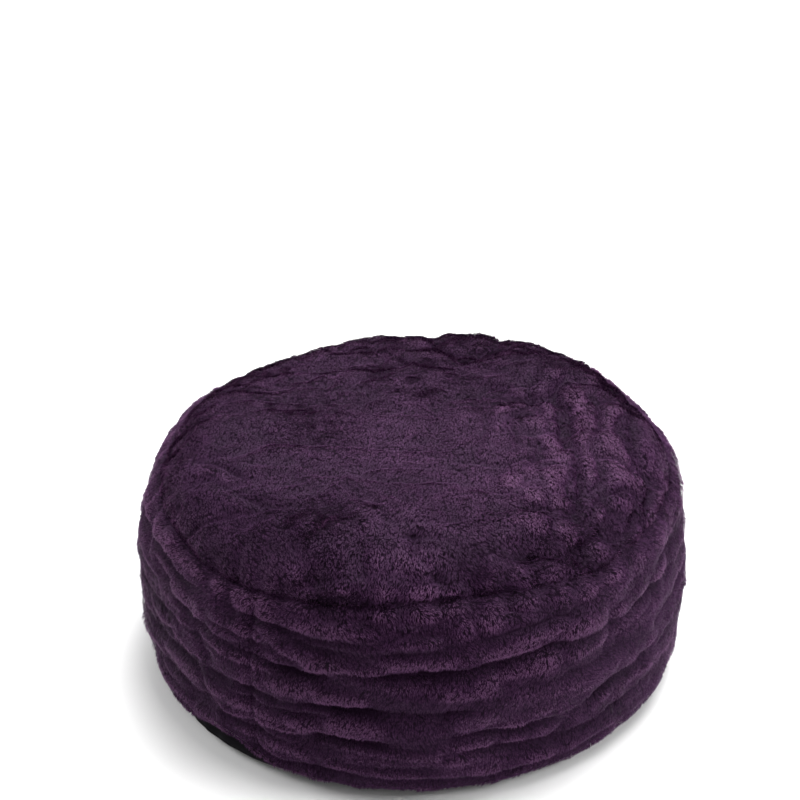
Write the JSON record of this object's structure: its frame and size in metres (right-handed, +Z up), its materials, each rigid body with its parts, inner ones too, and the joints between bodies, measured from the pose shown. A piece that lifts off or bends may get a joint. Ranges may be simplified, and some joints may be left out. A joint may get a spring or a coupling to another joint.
{
  "type": "bean bag chair",
  "caption": "Squat round bean bag chair with a crowned plush top, ribbed plush sides, a plain cloth base and a coil zipper round the rear of the base seam.",
  "frame": {"origin": "on the floor, under the middle of the drum", "axes": "+Z up, -Y towards the front, +X to the right as seen from the front"},
  "size_m": [0.6598, 0.6598, 0.316],
  "materials": {
    "plush": "dark plum faux-fur plush with a short dense pile",
    "base_cloth": "plain black woven polyester",
    "thread": "dark plum polyester sewing thread",
    "zipper_tape": "black woven zipper tape",
    "zipper_coil": "black nylon coil",
    "zipper_metal": "black enamelled zinc, satin",
    "tag_cloth": "off-white woven satin ribbon, blank",
    "liner_cloth": "natural white plain-woven polyester",
    "liner_thread": "white sewing thread",
    "liner_zipper": "white woven zipper tape",
    "liner_coil": "white nylon coil",
    "foam": "open-cell shredded polyurethane foam"
  },
  "bodies": {
    "bag": {"cover_top_panel": "plush", "cover_side_panel_right": "plush", "cover_side_panel_left": "plush", "cover_base_panel": "base_cloth", "top_seam_thread": "thread", "side_seam_thread_front": "thread", "side_seam_thread_rear": "thread", "base_seam_thread": "thread", "zipper_tape_upper": "zipper_tape", "zipper_tape_lower": "zipper_tape", "zipper_coil_upper": "zipper_coil", "zipper_coil_lower": "zipper_coil", "zipper_end_stops": "zipper_metal", "care_tag": "tag_cloth", "liner_top_panel": "liner_cloth", "liner_side_panel": "liner_cloth", "liner_base_panel": "liner_cloth", "liner_top_seam_thread": "liner_thread", "liner_base_seam_thread": "liner_thread", "liner_zipper_tape_rear": "liner_zipper", "liner_zipper_tape_front": "liner_zipper", "liner_zipper_coil_rear": "liner_coil", "liner_zipper_coil_front": "liner_coil", "liner_zipper_stops": "liner_coil", "foam_fill": "foam"},
    "zipper_slider": {"zipper_slider": "zipper_metal"},
    "zipper_pull": {"zipper_pull": "zipper_metal"},
    "liner_zipper_slider": {"liner_zipper_slider": "zipper_metal"}
  },
  "joints": [
    {"name": "zipper_travel", "type": "hinge", "parent": "bag", "child": "zipper_slider", "pos_m": [0, 0, 0], "axis": [0, 0, 1], "range_deg": [0, 105]},
    {"name": "pull_swing", "type": "hinge", "parent": "zipper_slider", "child": "zipper_pull", "pos_m": [0.25407, 0.19496, 0.03], "axis": [0, 0, -1], "range_deg": [0, 160]},
    {"name": "liner_zipper_travel", "type": "slide", "parent": "bag", "child": "liner_zipper_slider", "axis": [1, 0, 0], "range_m": [0, 0.332]}
  ]
}
